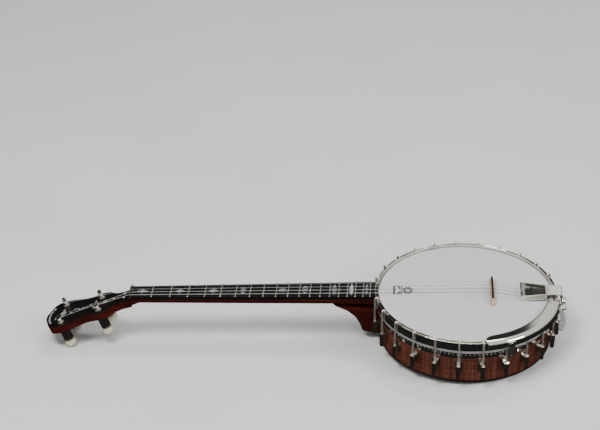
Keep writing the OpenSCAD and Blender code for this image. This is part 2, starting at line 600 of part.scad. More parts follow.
// --- Armrest -----------------------------------------------------------------------------
function arm_corner(t, span) = t >= span ? 1 : sqrt(max(0, 1 - pow(1 - t / span, 2)));
function arm_edge(a) = arm_in + 3.5 * (arm_to - a) / (arm_to - arm_from);
function arm_inner(a) = arm_mid - (arm_mid - arm_edge(a)) * arm_corner(a - arm_from, 7)
    * (0.45 + 0.55 * arm_corner(arm_to - a, 3));
function arm_outer(a) = arm_mid + (arm_out + 4 - arm_mid) * (0.2 + 0.8 * arm_corner(a - arm_from, 8));
arm_mid = hoop_out - 1;
arm_shoulder = 8;
arm_foot = arm_under - arm_drop;
arm_plate_t = 1.5;
bracket_angle = -64;
fin_angle = arm_to - 0.6;
arm_screw_r = 1.55;
module armrest_plate() color("silver") on_pot() difference() {
    intersection() {
        c = [arm_out - arm_shoulder, arm_under + arm_t - arm_shoulder];
        rotate_extrude($fn = 180) polygon(concat([[arm_in - 1, arm_under], [arm_in - 1, arm_under + arm_t]],
            arc(c, arm_shoulder, 90, 0, 10), [[arm_out, arm_foot], [arm_out - arm_t, arm_foot]],
            arc(c, arm_shoulder - arm_t, 0, 90, 10)));
        translate([0, 0, -40]) linear_extrude(80) polygon(concat(
            [for (a = [arm_from : 0.5 : arm_to]) arm_inner(a) * [cos(a), sin(a)]],
            [for (a = [arm_to : -0.5 : arm_from]) arm_outer(a) * [cos(a), sin(a)]]));
    }
    arm_screw_places() bar_x(arm_screw_r, arm_out - 4, arm_out + 4, 0);
}
module arm_screw_places() {
    rotate([0, 0, bracket_angle]) translate([0, 0, arm_foot + 4]) children();
    rotate([0, 0, fin_angle]) translate([0, -6, arm_foot + 4]) children();
}
// A plain strap near the armrest's thin end, and a leaf standing out from the hoop at its broad end
module armrest_brackets() color("silver") on_pot() {
    at_angle(bracket_angle, arm_out + 0.05, arm_foot - 20) difference() {
        translate([0, -6, 0]) cube([arm_plate_t, 12, 28]);
        for (z = [4, 24]) translate([-1, 0, z]) rotate([0, 90, 0]) cylinder(r = arm_screw_r, h = 4);
    }
    at_angle(fin_angle, arm_out + 0.05, 0) difference() {
        union() {
            translate([0, -11, arm_foot - 6]) cube([arm_plate_t, 11, 14]);
            translate([0, 0, arm_foot - 1]) rotate([90, 0, 0]) linear_extrude(1.6) polygon(fin_outline());
        }
        translate([-1, -6, arm_foot + 4]) rotate([0, 90, 0]) cylinder(r = arm_screw_r, h = 4);
        for (p = fin_holes)
            translate([p[0], -3, arm_foot - 1 + p[1]]) rotate([-90, 0, 0]) cylinder(r = 1.5, h = 6);
    }
}
fin_holes = [[1.6, -25], [2.2, -34]];
function fin_outline() = smooth([[0, 3], [2.8, 1], [5.6, -5], [8.2, -13], [9, -21], [8.2, -30],
    [4.6, -39], [0.4, -38], [-1.4, -33], [-1.2, -26], [0, -18], [0, -8], [0, 3]], 4);
module armrest_screws() color("silver") on_pot() arm_screw_places() {
    bar_x(arm_screw_r, arm_out - 2, arm_out + 2, 0);
    bar_x(2.8, arm_out + 0.05 + arm_plate_t, arm_out + 3, 0);
}

// --- Tuners ------------------------------------------------------------------------------
module tuner_cases() color("silver") for (p = posts) at_post(p) translate([0, 0, -peghead_t]) difference() {
    union() {
        translate([0, 0, -case_h]) cylinder(r = case_d / 2, h = case_h);
        cylinder(r = shank_r, h = peghead_t - 0.5);
        translate([0, 0, -1.2]) cylinder(r = case_d / 2 + 1.2, h = 1.2);
    }
    translate([0, 0, -case_h + case_wall]) cylinder(r = ring_r, h = case_h - 2 * case_wall);
    translate([0, 0, -case_wall - 1]) cylinder(r = post_r + 0.05, h = peghead_t + 4);
    translate([0, 0, -case_h - 1]) cylinder(r = shaft_r + 0.05, h = case_wall + 2);
}
module tuner_bushings() color("silver") for (p = posts) at_post(p) difference() {
    union() {
        cylinder(r = bushing_r, h = 1);
        translate([0, 0, 1]) cylinder(r = bushing_r - 0.9, h = 2.2, $fn = 6);
    }
    translate([0, 0, -1]) cylinder(r = post_r + 0.15, h = 8);
}
module tuner_post(p) color("silver") at_post(p) difference() {
    union() {
        translate([0, 0, carrier_top - carrier_h]) cylinder(r = ring_r - case_gap, h = carrier_h);
        translate([0, 0, carrier_top - 0.01]) cylinder(r = post_r, h = post_h - carrier_top);
        for (i = [0 : 2]) rotate([0, 0, 120 * i])
            translate([planet_at, 0, gear_z - 0.3]) cylinder(r = 0.9, h = gear_h + 1);
    }
    translate([-5, 0, wind_z + 3.5]) rotate([0, 90, 0]) cylinder(r = 0.9, h = 10);
    translate([0, 0, wind_z + 0.8]) ring(post_r + 1, post_r - wind_groove, -2, 3);
}
module string_winding(p) color("silver") at_post(p) for (i = [0 : 2])
    translate([0, 0, wind_z + (i - 1) * (string_d + 0.02)]) rotate_extrude() translate([wind_r, 0])
        circle(r = string_d / 2);
module planet_gears(p) color("goldenrod") at_post(p) for (i = [0 : 2]) rotate([0, 0, 120 * i])
    translate([planet_at, 0, gear_z]) difference() {
        cylinder(r = planet_r, h = gear_h);
        translate([0, 0, -1]) cylinder(r = 0.95, h = gear_h + 2);
    }
module tuner_button(p) color("ivory") at_post(p) {
    translate([0, 0, button_top - 1]) cylinder(r = shaft_r, h = gear_z - 0.6 - button_top + 1);
    translate([0, 0, gear_z - 0.8]) cylinder(r = sun_r, h = gear_h);
    translate([0, 0, button_top - button_h]) rotate_extrude() {
        r = button_d / 2;
        polygon(concat([[0, 0]], arc([r - button_round, button_round], button_round, -90, 0, 6),
            arc([r - button_round, button_h - button_round], button_round, 0, 90, 6), [[0, button_h]]));
    }
}

// --- Strings -----------------------------------------------------------------------------
function turn_xz(p, a) = [p[0] * cos(a) - p[2] * sin(a), p[1], p[0] * sin(a) + p[2] * cos(a)];
function neck_point(p) = [nut_x, 0, nut_z] + turn_xz(p, neck_pitch);
function peg_point(p) = neck_point([-nut_t, 0, -face_drop] + turn_xz(p, peghead_tilt));
function radius_of(k) = string_d / 2 * (k == 1 ? 0.4 : k == 2 ? 0.6 : k == 3 ? 0.8 : 1);
function side_of(p) = p[1] > 0 ? -1 : 1;
function string_route(k) = let (p = post_of[k - 1], pin = pin_at(k)) concat([
    peg_point([p[0] + 0.6, p[1] + side_of(p) * (wind_r + string_d / 2 + string_gap + radius_of(k)), wind_z]),
    neck_point([-nut_t, string_y(k, nut_spacing), nut_rise - 0.4]),
    neck_point([0, string_y(k, nut_spacing), nut_rise - 0.2]),
    [bridge_x, string_y(k, bridge_spacing), bridge_h],
    [tail_front, string_y(k, (bridge_spacing + 7) / 2), tail_bar_z - tail_bar_r - 0.5],
    [pin[0] - 4, pin[1], anchor_z + 2.2]],
    [for (a = [140 : -40 : -140]) [pin[0] + 1.6 * cos(a), pin[1] + 1.6 * sin(a), anchor_z + 2.2]]);
function unit(v) = v / norm(v);
// A ring of the tube stands square to the mean of the two runs that meet at its point
function run(pts, i) = unit(pts[min(i + 1, len(pts) - 1)] - pts[max(i, 0)]);
function heading(pts, i) = let (n = len(pts) - 1)
    i == 0 ? run(pts, 0) : i == n ? run(pts, n - 1) : unit(run(pts, i - 1) + run(pts, i));
function tube_ring(c, t, r, sides) = let (x = unit(cross(t, [0, 0, 1])), y = cross(t, x))
    [for (j = [0 : sides - 1]) c + r * (cos(360 * j / sides) * x + sin(360 * j / sides) * y)];
module tube(pts, r, sides = 8) {
    n = len(pts);
    rings = [for (i = [0 : n - 1]) each tube_ring(pts[i], heading(pts, i), r, sides)];
    sidewalls = [for (i = [0 : n - 2]) for (j = [0 : sides - 1]) let (m = (j + 1) % sides)
        [i * sides + j, i * sides + m, (i + 1) * sides + m, (i + 1) * sides + j]];
    start = [for (j = [sides - 1 : -1 : 0]) j];
    stop = [for (j = [0 : sides - 1]) (n - 1) * sides + j];
    polyhedron(rings, concat(sidewalls, [start, stop]));
}
module string_line(k) color("gainsboro") on_pot() tube(string_route(k), radius_of(k));

rim_shell();
rim_cap();
tone_tube();
tone_hoop();
drum_head();
head_skirt();
flesh_hoop();
tension_hoop();
bracket_shoes();
shoe_bolts();
tension_hooks();
hook_nuts();
coordinator_rods();
neck_bolts();
neck_bolt_nuts();
tail_bolts();
neck_wood();
heel_cap();
fingerboard();
frets();
position_inlays();
string_nut();
truss_rod();
truss_rod_cover();
truss_cover_screws();
peghead_overlay();
peghead_inlays();
bridge_base();
bridge_top();
tailpiece_frame();
tailpiece_anchor();
tailpiece_screw();
tailpiece_bracket();
tailpiece_bolt();
armrest_plate();
armrest_brackets();
armrest_screws();
tuner_cases();
tuner_bushings();
string_line(1);  // string_1
string_line(2);  // string_2
string_line(3);  // string_3
string_line(4);  // string_4
tuner_post(posts[0]);  // tuner_post_1
tuner_post(posts[1]);  // tuner_post_2
tuner_post(posts[2]);  // tuner_post_3
tuner_post(posts[3]);  // tuner_post_4
string_winding(posts[0]);  // string_winding_1
string_winding(posts[1]);  // string_winding_2
string_winding(posts[2]);  // string_winding_3
string_winding(posts[3]);  // string_winding_4
planet_gears(posts[0]);  // planet_gears_1
planet_gears(posts[1]);  // planet_gears_2
planet_gears(posts[2]);  // planet_gears_3
planet_gears(posts[3]);  // planet_gears_4
tuner_button(posts[0]);  // tuner_button_1
tuner_button(posts[1]);  // tuner_button_2
tuner_button(posts[2]);  // tuner_button_3
tuner_button(posts[3]);  // tuner_button_4
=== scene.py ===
"""Banjo: materials, fine pieces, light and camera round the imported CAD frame. Metres throughout."""
import math

import bmesh
import bpy
from mathutils import Matrix, Vector


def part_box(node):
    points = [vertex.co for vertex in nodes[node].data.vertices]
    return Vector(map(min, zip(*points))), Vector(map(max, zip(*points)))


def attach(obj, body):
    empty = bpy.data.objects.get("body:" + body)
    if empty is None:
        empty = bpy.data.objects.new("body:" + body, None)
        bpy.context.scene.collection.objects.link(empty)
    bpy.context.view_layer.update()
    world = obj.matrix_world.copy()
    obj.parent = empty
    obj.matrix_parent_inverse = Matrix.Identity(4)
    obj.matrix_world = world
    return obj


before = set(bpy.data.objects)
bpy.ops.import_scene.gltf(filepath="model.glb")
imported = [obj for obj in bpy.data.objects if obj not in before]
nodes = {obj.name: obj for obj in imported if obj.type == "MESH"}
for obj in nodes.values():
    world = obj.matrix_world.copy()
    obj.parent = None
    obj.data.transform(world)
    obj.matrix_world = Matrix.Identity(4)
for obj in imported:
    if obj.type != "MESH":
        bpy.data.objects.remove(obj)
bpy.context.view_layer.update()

MM = 0.001


# --- Places worked out from the frame ----------------------------------------------------
def middle(node):
    low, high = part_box(node)
    return (Vector(low) + Vector(high)) / 2


pot = middle("tension_hoop")
head_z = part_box("drum_head")[1][2]
pot_centre = Vector((pot.x, pot.y, head_z))


def tilted(x, z, degrees):
    """A frame whose X runs along the neck and is raised by that angle above the row's X."""
    turn = Matrix.Rotation(-math.radians(degrees), 4, "Y")
    return Matrix.Translation((x, pot.y, z)) @ turn


# The neck's frame starts at the nut's front edge, on the fingerboard's face.
# The peghead's starts behind the nut, on the peghead's face.
# Lengths here are in mm and angles in degrees, as in the source.
NECK_PITCH = 2.6
PEGHEAD_TILT = 17.0
BOARD_T = 5.5
NUT_T = 5.0
FACE_DROP = 6.8
SCALE = 584.0
FRETS = 19
BOARD_LEN = 396.9
BOARD_NUT_WIDTH = 31.6
BOARD_POT_WIDTH = 43.6
on_pot = Matrix.Translation(pot_centre)
on_neck = tilted(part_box("fingerboard")[0][0],
                 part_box("fingerboard")[0][2] + BOARD_T * MM * math.cos(math.radians(NECK_PITCH)), NECK_PITCH)
peghead_start = on_neck @ Vector((-NUT_T * MM, 0, -FACE_DROP * MM))
on_peghead = tilted(peghead_start.x, peghead_start.z, NECK_PITCH + PEGHEAD_TILT)
POSTS = ((-54.5, 18.0), (-54.5, -18.0), (-121.0, 25.0), (-121.0, -25.0))


def fret_at(n):
    """That fret's distance from the nut."""
    return SCALE * (1 - 2 ** (-n / 12))


def board_half(u):
    """Half the fingerboard's width at that distance from the nut."""
    return (BOARD_NUT_WIDTH + (BOARD_POT_WIDTH - BOARD_NUT_WIDTH) * u / BOARD_LEN) / 2


# --- Node helpers ------------------------------------------------------------------------
class Shader:
    """A material's node tree, with short calls for what the materials below share."""

    def __init__(self, name):
        self.material = bpy.data.materials.new(name)
        self.material.use_nodes = True
        self.tree = self.material.node_tree
        self.bsdf = self.tree.nodes["Principled BSDF"]
        self.place = self.add("ShaderNodeTexCoord").outputs["Object"]

    def add(self, kind, **sockets):
        made = self.tree.nodes.new(kind)
        for key, value in sockets.items():
            self.put(made, key.replace("_", " "), value)
        return made

    def put(self, made, key, value):
        socket = made.inputs[key]
        if isinstance(value, bpy.types.NodeSocket):
            self.tree.links.new(value, socket)
        else:
            socket.default_value = value

    def set(self, **sockets):
        for key, value in sockets.items():
            self.put(self.bsdf, key.replace("_", " "), value)

    def math(self, operation, a, b=0.0):
        made = self.add("ShaderNodeMath")
        made.operation = operation
        self.put(made, 0, a)
        self.put(made, 1, b)
        return made.outputs[0]

    def stretched(self, scale, offset=(0, 0, 0)):
        made = self.add("ShaderNodeMapping", Vector=self.place, Scale=scale, Location=offset)
        return made.outputs["Vector"]

    def around(self, centre, scale):
        """Coordinates unrolled round the pot's axis: along the hoop, through the wall, up."""
        parts = self.add("ShaderNodeSeparateXYZ", Vector=self.place).outputs
        x = self.math("SUBTRACT", parts[0], centre.x)
        y = self.math("SUBTRACT", parts[1], centre.y)
        along = self.math("ARCTAN2", y, x)
        out = self.math("SQRT", self.math("ADD", self.math("MULTIPLY", x, x), self.math("MULTIPLY", y, y)))
        joined = self.add("ShaderNodeCombineXYZ", X=self.math("MULTIPLY", along, scale[0]),
                          Y=self.math("MULTIPLY", out, scale[1]), Z=self.math("MULTIPLY", parts[2], scale[2]))
        return joined.outputs[0]

    def noise(self, vector, scale=1.0, detail=4.0, roughness=0.5, distortion=0.0):
        return self.add("ShaderNodeTexNoise", Vector=vector, Scale=scale, Detail=detail,
                        Roughness=roughness, Distortion=distortion).outputs["Fac"]

    def ramp(self, fac, *stops):
        made = self.add("ShaderNodeValToRGB", Fac=fac)
        elements = made.color_ramp.elements
        while len(elements) < len(stops):
            elements.new(0.5)
        for element, (position, colour) in zip(elements, stops):
            element.position = position
            element.color = (*colour, 1)
        return made.outputs["Color"]

    def span(self, fac, low, high, from_low=0.0, from_high=1.0):
        made = self.add("ShaderNodeMapRange", Value=fac)
        ends = {"From Min": from_low, "From Max": from_high, "To Min": low, "To Max": high}
        for key, value in ends.items():
            made.inputs[key].default_value = value
        return made.outputs["Result"]

    def bump(self, height, strength, distance, normal=None):
        made = self.add("ShaderNodeBump", Height=height, Strength=strength, Distance=distance)
        if normal is not None:
            self.put(made, "Normal", normal)
        return made.outputs["Normal"]

    def soft_edge(self, radius):
        made = self.add("ShaderNodeBevel", Radius=radius)
        made.samples = 4
        return made.outputs["Normal"]


# --- Materials ---------------------------------------------------------------------------
def nickel(name, tint=(0.84, 0.81, 0.74), rough=0.035, edge=0.3 * MM, tarnish=0.45):
    """Polished plate, clouded with darker patches of tarnish."""
    s = Shader(name)
    cloud = s.noise(s.place, 34, 4)
    fine = s.noise(s.place, 420, 3)
    dark = [c * (1 - tarnish) for c in tint]
    almost = [c * 0.96 for c in tint]
    s.set(Base_Color=s.ramp(cloud, (0.22, dark), (0.46, almost), (0.75, tint)), Metallic=1.0,
          Roughness=s.span(fine, rough * 0.6, rough * 1.6),
          Normal=s.bump(fine, 0.03, 0.03 * MM, s.soft_edge(edge)))
    return s.material


def satin(name, tint, rough, metal, worn_from=None):
    """Duller plate that partly scatters light: everywhere, or only beyond the X in worn_from."""
    s = Shader(name)
    if worn_from is not None:
        along = s.add("ShaderNodeSeparateXYZ", Vector=s.place).outputs[0]
        metal = s.span(along, 1.0, metal, worn_from - 0.02, worn_from)
    cloud = s.noise(s.place, 60, 4)
    fine = s.noise(s.place, 700, 3)
    s.set(Base_Color=s.ramp(cloud, (0.3, [c * 0.72 for c in tint]), (0.65, tint)), Metallic=metal,
          Roughness=s.span(fine, rough * 0.7, rough * 1.5),
          Normal=s.bump(fine, 0.08, 0.03 * MM, s.soft_edge(0.3 * MM)))
    return s.material


def brushed(name, tint, rough, grain):
    """Bare steel with tool marks, finest along the axes where grain is largest."""
    s = Shader(name)
    lines = s.noise(s.stretched(grain), 1, 3)
    s.set(Base_Color=s.ramp(lines, (0.25, [c * 0.75 for c in tint]), (0.75, tint)), Metallic=1.0,
          Roughness=s.span(lines, rough * 0.7, rough * 1.4), Normal=s.bump(lines, 0.25, 0.05 * MM))
    return s.material


def film():
    """The head's frosted film, with a fine rough grain and faint clouding."""
    s = Shader("frosted_film")
    cloud = s.noise(s.place, 9, 4, 0.5)
    speck = s.noise(s.place, 900, 3, 0.7)
    grain = s.noise(s.place, 2600, 2)
    both = s.math("ADD", s.math("MULTIPLY", cloud, 0.75), s.math("MULTIPLY", speck, 0.25))
    s.set(Base_Color=s.ramp(both, (0.3, (0.545, 0.555, 0.547)), (0.7, (0.585, 0.593, 0.585))),
          Roughness=s.span(grain, 0.42, 0.7), Specular_IOR_Level=0.4, Normal=s.bump(grain, 0.25, 0.05 * MM))
    return s.material


def rim_wood():
    """Stained maple under gloss: its grain runs round the rim, with a dark glue line between plies."""
    ply = 4.7 * MM
    s = Shader("rim_maple")
    fibre = s.noise(s.around(pot_centre, (3.2, 500, 420)), 1, 6, 0.6, 0.4)
    flame = s.noise(s.around(pot_centre, (34, 6, 10)), 1, 3, 0.5, 0.2)
    out = s.add("ShaderNodeSeparateXYZ", Vector=s.around(pot_centre, (1, 1, 1))).outputs[1]
    plies = s.math("FRACT", s.math("MULTIPLY", out, 1 / ply))
    glue = s.math("GREATER_THAN", plies, 0.94)
    both = s.math("ADD", s.math("MULTIPLY", fibre, 0.5), s.math("MULTIPLY", flame, 0.5))
    shade = s.math("SUBTRACT", both, s.math("MULTIPLY", glue, 0.16))
    colour = s.ramp(shade, (0.32, (0.036, 0.010, 0.006)), (0.5, (0.095, 0.028, 0.017)),
                    (0.68, (0.18, 0.066, 0.040)))
    s.set(Base_Color=colour,
          Roughness=s.span(fibre, 0.16, 0.28), Coat_Weight=0.7, Coat_Roughness=0.06, Specular_IOR_Level=0.4,
          Normal=s.bump(fibre, 0.06, 0.08 * MM, s.soft_edge(0.5 * MM)))
    return s.material


def neck_finish():
    """Dark red mahogany under gloss, with open pores along the neck."""
    s = Shader("neck_mahogany")
    fibre = s.noise(s.stretched((14, 420, 300)), 1, 6, 0.62, 0.6)
    broad = s.noise(s.stretched((5, 60, 42)), 1, 3, 0.5, 0.8)
    pores = s.math("GREATER_THAN", s.noise(s.stretched((120, 2400, 1800)), 1, 1), 0.66)
    both = s.math("ADD", s.math("MULTIPLY", fibre, 0.5), s.math("MULTIPLY", broad, 0.5))
    shade = s.math("SUBTRACT", both, s.math("MULTIPLY", pores, 0.06))
    colour = s.ramp(shade, (0.3, (0.016, 0.002, 0.0016)), (0.5, (0.045, 0.0045, 0.003)),
                    (0.7, (0.095, 0.012, 0.006)))
    s.set(Base_Color=colour,
          Roughness=s.span(fibre, 0.16, 0.28), Coat_Weight=0.8, Coat_Roughness=0.05, Specular_IOR_Level=0.35,
          Normal=s.bump(shade, 0.06, 0.08 * MM, s.soft_edge(0.8 * MM)))
    return s.material


def ebony(name, rough=0.34, shine=0.12):
    """Near-black wood with a faint brown grain along the neck."""
    s = Shader(name)
    fibre = s.noise(s.stretched((16, 700, 500)), 1, 6, 0.6, 0.4)
    colour = s.ramp(fibre, (0.3, (0.004, 0.0035, 0.0035)), (0.62, (0.009, 0.0075, 0.007)),
                    (0.8, (0.022, 0.014, 0.010)))
    s.set(Base_Color=colour,
          Roughness=s.span(fibre, rough * 0.8, rough * 1.25), Specular_IOR_Level=shine,
          Normal=s.bump(fibre, 0.1, 0.06 * MM, s.soft_edge(0.35 * MM)))
    return s.material


def maple():
    """Pale bare maple, its grain running along the bridge."""
    s = Shader("bridge_maple")
    fibre = s.noise(s.stretched((900, 26, 520)), 1, 5, 0.55, 0.3)
    flecks = s.noise(s.stretched((1800, 300, 900)), 1, 2)
    shade = s.math("ADD", s.math("MULTIPLY", fibre, 0.75), s.math("MULTIPLY", flecks, 0.25))
    colour = s.ramp(shade, (0.3, (0.44, 0.25, 0.16)), (0.55, (0.62, 0.40, 0.27)),
                    (0.75, (0.74, 0.52, 0.38)))
    s.set(Base_Color=colour, Roughness=s.span(fibre, 0.42, 0.56),
          Normal=s.bump(fibre, 0.2, 0.06 * MM, s.soft_edge(0.3 * MM)))
    return s.material


def pearl():
    """Mother-of-pearl: clouds of grey-green, pink and white under a thin coat."""
    s = Shader("pearl")
    cloud = s.noise(s.place, 260, 3, 0.5, 1.4)
    waves = s.noise(s.stretched((90, 300, 200)), 1, 2, 0.5, 2.0)
    shade = s.math("ADD", s.math("MULTIPLY", cloud, 0.5), s.math("MULTIPLY", waves, 0.5))
    colour = s.ramp(shade, (0.34, (0.14, 0.17, 0.17)), (0.45, (0.50, 0.44, 0.49)),
                    (0.55, (0.38, 0.47, 0.43)), (0.66, (0.86, 0.86, 0.82)))
    s.set(Base_Color=colour,
          Roughness=s.span(cloud, 0.14, 0.3), Coat_Weight=0.4, Coat_Roughness=0.05, Metallic=0.3)
    return s.material


def cast(name, light, dark, rough=0.26, soft=0.1):
    """A smooth, streaked material: the ivoroid buttons and the black nut."""
    s = Shader(name)
    streak = s.noise(s.stretched((120, 420, 60)), 1, 4, 0.5, 1.2)
    s.set(Base_Color=s.ramp(streak, (0.35, dark), (0.65, light)),
          Roughness=s.span(streak, rough * 0.8, rough * 1.3),
          Subsurface_Weight=soft, Subsurface_Radius=(0.004, 0.003, 0.002), Subsurface_Scale=0.5,
          Normal=s.bump(streak, 0.08, 0.05 * MM, s.soft_edge(0.4 * MM)))
    return s.material


def steel_string(name, pitch):
    """Steel ridged at that pitch along the string, with its colour painted darker over the head as a painted
    reflection of the dark surroundings there.
    """
    s = Shader(name)
    along = s.add("ShaderNodeSeparateXYZ", Vector=s.place).outputs[0]
    coils = s.math("SINE", s.math("MULTIPLY", along, 2 * math.pi / pitch))
    streaks = s.noise(s.stretched((300, 900, 900)), 1, 3)
    # Painted reflection: from just short of the head onward the strings are coloured darker, standing in for
    # the dark surroundings they mirror
    painted_dark_reflection = s.span(along, 0.0, 1.0, pot_centre.x - 0.16, pot_centre.x - 0.13)
    shade = s.math("SUBTRACT", streaks, s.math("MULTIPLY", painted_dark_reflection, 0.45))
    colour = s.ramp(shade, (0.0, (0.06, 0.06, 0.058)), (0.18, (0.16, 0.155, 0.15)),
                    (0.34, (0.66, 0.65, 0.62)), (0.6, (0.86, 0.85, 0.82)))
    s.set(Base_Color=colour, Metallic=0.55, Roughness=s.span(coils, 0.2, 0.35, -1.0, 1.0),
          Normal=s.bump(coils, 0.3, 0.03 * MM))
    return s.material


def brass():
    """Bare brass with tool marks, for the tuners' gears."""
    s = Shader("machined_brass")
    rings = s.noise(s.stretched((600, 600, 90)), 1, 3)
    s.set(Base_Color=s.ramp(rings, (0.3, (0.52, 0.36, 0.13)), (0.7, (0.78, 0.60, 0.27))), Metallic=1.0,
          Roughness=s.span(rings, 0.2, 0.4), Normal=s.bump(rings, 0.2, 0.05 * MM))
    return s.material


def ink():
    """Black print with lighter specks."""
    s = Shader("printed_ink")
    spots = s.noise(s.place, 1500, 3, 0.7)
    s.set(Base_Color=s.ramp(spots, (0.35, (0.012, 0.012, 0.014)), (0.7, (0.05, 0.05, 0.055))),
          Roughness=s.span(spots, 0.45, 0.7))
    return s.material


def painted_shadow_line():
    """A dull near-black look for the tube that is a painted shadow under the armrest's inner edge."""
    s = Shader("painted_shadow_line")
    grain = s.noise(s.place, 1200, 3)
    s.set(Base_Color=s.ramp(grain, (0.3, (0.006, 0.006, 0.006)), (0.7, (0.018, 0.018, 0.018))),
          Roughness=s.span(grain, 0.5, 0.7))
    return s.material


NICKEL = nickel("polished_nickel")
NICKEL_SMALL = nickel("nickel_fittings", rough=0.09, edge=0.25 * MM)
HOOK = satin("satin_hooks", (0.80, 0.78, 0.72), 0.25, 0.8)
LEAF = satin("satin_leaf", (0.84, 0.83, 0.80), 0.3, 0.35, pot_centre.x + 0.13)
NICKEL_PRESSED = nickel("pressed_nickel", rough=0.08, edge=0.4 * MM)
# Painted reflection: nickel given a near-black colour, standing in for the dark surroundings the tailpiece's
# anchor plate mirrors under its window
NICKEL_PAINTED_DARK = nickel("nickel_painted_dark", tint=(0.10, 0.095, 0.08), rough=0.2)
FLESH = satin("satin_flesh_hoop", (0.50, 0.50, 0.49), 0.4, 0.25)
STEEL = brushed("turned_steel", (0.56, 0.55, 0.53), 0.28, (900, 60, 60))
FRET = nickel("fret_wire", tint=(0.70, 0.69, 0.65), rough=0.2, edge=0.2 * MM)
EBONY = ebony("ebony")
EBONY_GLOSS = ebony("ebony_polished", rough=0.2)
PEARL = pearl()
FILM = film()
RIM = rim_wood()
NECK = neck_finish()
MAPLE = maple()
NUT = cast("black_nut", (0.020, 0.018, 0.016), (0.008, 0.007, 0.006), soft=0.0)
IVOROID = cast("ivoroid", (0.70, 0.67, 0.52), (0.52, 0.48, 0.34))
PLAIN = steel_string("plain_string", 0.9 * MM)
WOUND = steel_string("wound_string", 0.45 * MM)
GEAR = brass()
INK = ink()
# Near-black look for the painted shadow under the armrest's inner edge
PAINTED_SHADOW = painted_shadow_line()

LOOKS = {
    NICKEL: ("tension_hoop", "armrest_plate", "tone_tube", "tone_hoop"),
    HOOK: ("tension_hooks",),
    LEAF: ("armrest_brackets",),
    NICKEL_SMALL: ("bracket_shoes", "shoe_bolts", "hook_nuts", "tail_bolts", "neck_bolt_nuts",
                   "armrest_screws", "tuner_cases", "tuner_bushings", "truss_cover_screws",
                   "tailpiece_screw", "tailpiece_bracket", "tailpiece_bolt",
                   "tuner_post_1", "tuner_post_2", "tuner_post_3", "tuner_post_4"),
    NICKEL_PRESSED: ("tailpiece_frame",),
    # The anchor's near-black colour is a painted reflection
    NICKEL_PAINTED_DARK: ("tailpiece_anchor",),
    FLESH: ("flesh_hoop",),
    STEEL: ("coordinator_rods", "neck_bolts", "truss_rod"),
    FRET: ("frets",),
    EBONY: ("fingerboard", "bridge_top"),
    EBONY_GLOSS: ("peghead_overlay", "truss_rod_cover", "heel_cap", "rim_cap"),
    PEARL: ("position_inlays", "peghead_inlays"),
    FILM: ("drum_head", "head_skirt"),
    RIM: ("rim_shell",),
    NECK: ("neck_wood",),
    MAPLE: ("bridge_base",),
    NUT: ("string_nut",),
    IVOROID: ("tuner_button_1", "tuner_button_2", "tuner_button_3", "tuner_button_4"),
    PLAIN: ("string_1", "string_2", "string_winding_1", "string_winding_3"),
    WOUND: ("string_3", "string_4", "string_winding_2", "string_winding_4"),
    GEAR: ("planet_gears_1", "planet_gears_2", "planet_gears_3", "planet_gears_4"),
}
for look, names in LOOKS.items():
    for name in names:
        for slot in nodes[name].material_slots:
            slot.material = look


# --- Fine pieces -------------------------------------------------------------------------
def piece(name, made, look, body="banjo", smooth=True):
    """Finishes a bmesh as a named object, in that material, riding on that body."""
    mesh = bpy.data.meshes.new(name)
    bmesh.ops.recalc_face_normals(made, faces=made.faces)
    made.to_mesh(mesh)
    made.free()
    for face in mesh.polygons:
        face.use_smooth = smooth
    mesh.materials.append(look)
    out = bpy.data.objects.new(name, mesh)
    bpy.context.scene.collection.objects.link(out)
    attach(out, body)


def revolve(made, profile, place, segments=20):
    """Turns (radius, height) points in mm about place's Z axis. The first and last are on the axis."""
    angles = [2 * math.pi * i / segments for i in range(segments)]
    rings = []
    for radius, height in profile:
        if radius == 0:
            rings.append([made.verts.new(place @ Vector((0, 0, height * MM)))])
            continue
        points = [(radius * math.cos(t) * MM, radius * math.sin(t) * MM, height * MM) for t in angles]
        rings.append([made.verts.new(place @ Vector(point)) for point in points])
    for low, high in zip(rings, rings[1:]):
        for i in range(segments):
            j = (i + 1) % segments
            around = [low[i % len(low)], low[j % len(low)], high[j % len(high)], high[i % len(high)]]
            corners = list(dict.fromkeys(around))
            made.faces.new(corners)


def slab(made, outline, place, low, high):
    """A flat shape of (x, y) points in mm, raised from low to high along place's Z axis."""
    under = [made.verts.new(place @ Vector((x * MM, y * MM, low * MM))) for x, y in outline]
    over = [made.verts.new(place @ Vector((x * MM, y * MM, high * MM))) for x, y in outline]
    made.faces.new(over)
    made.faces.new(under[::-1])
    for i in range(len(outline)):
        j = (i + 1) % len(outline)
        made.faces.new([under[i], under[j], over[j], over[i]])


def at(x, y, z=0.0, turn=0.0):
    """A place in mm, turned about Z by degrees."""
    return Matrix.Translation((x * MM, y * MM, z * MM)) @ Matrix.Rotation(math.radians(turn), 4, "Z")


def dome(radius, height, base=0.0, steps=5):
    """A half-round profile for revolve, with a flat underside."""
    turns = [math.pi / 2 * i / steps for i in range(steps)]
    side = [(radius * math.cos(t), base + height * math.sin(t)) for t in turns]
    return [(0, base)] + side + [(0, base + height)]


def slotted_head(made, place, radius, height, slot=0.5):
    """A screw's head: a disc with a straight slot between two raised halves."""
    ledge = height * 0.5
    inset = radius * 0.94
    steps = 14
    revolve(made, [(0, 0), (radius, 0), (radius, ledge), (0, ledge)], place, 28)
    edge = math.asin(slot / 2 / radius)
    turns = [edge + (math.pi - 2 * edge) * i / steps for i in range(steps + 1)]
    half = [(inset * math.cos(t), inset * math.sin(t)) for t in turns]
    for side in (0, 180):
        slab(made, half, place @ Matrix.Rotation(math.radians(side), 4, "Z"), ledge, height)


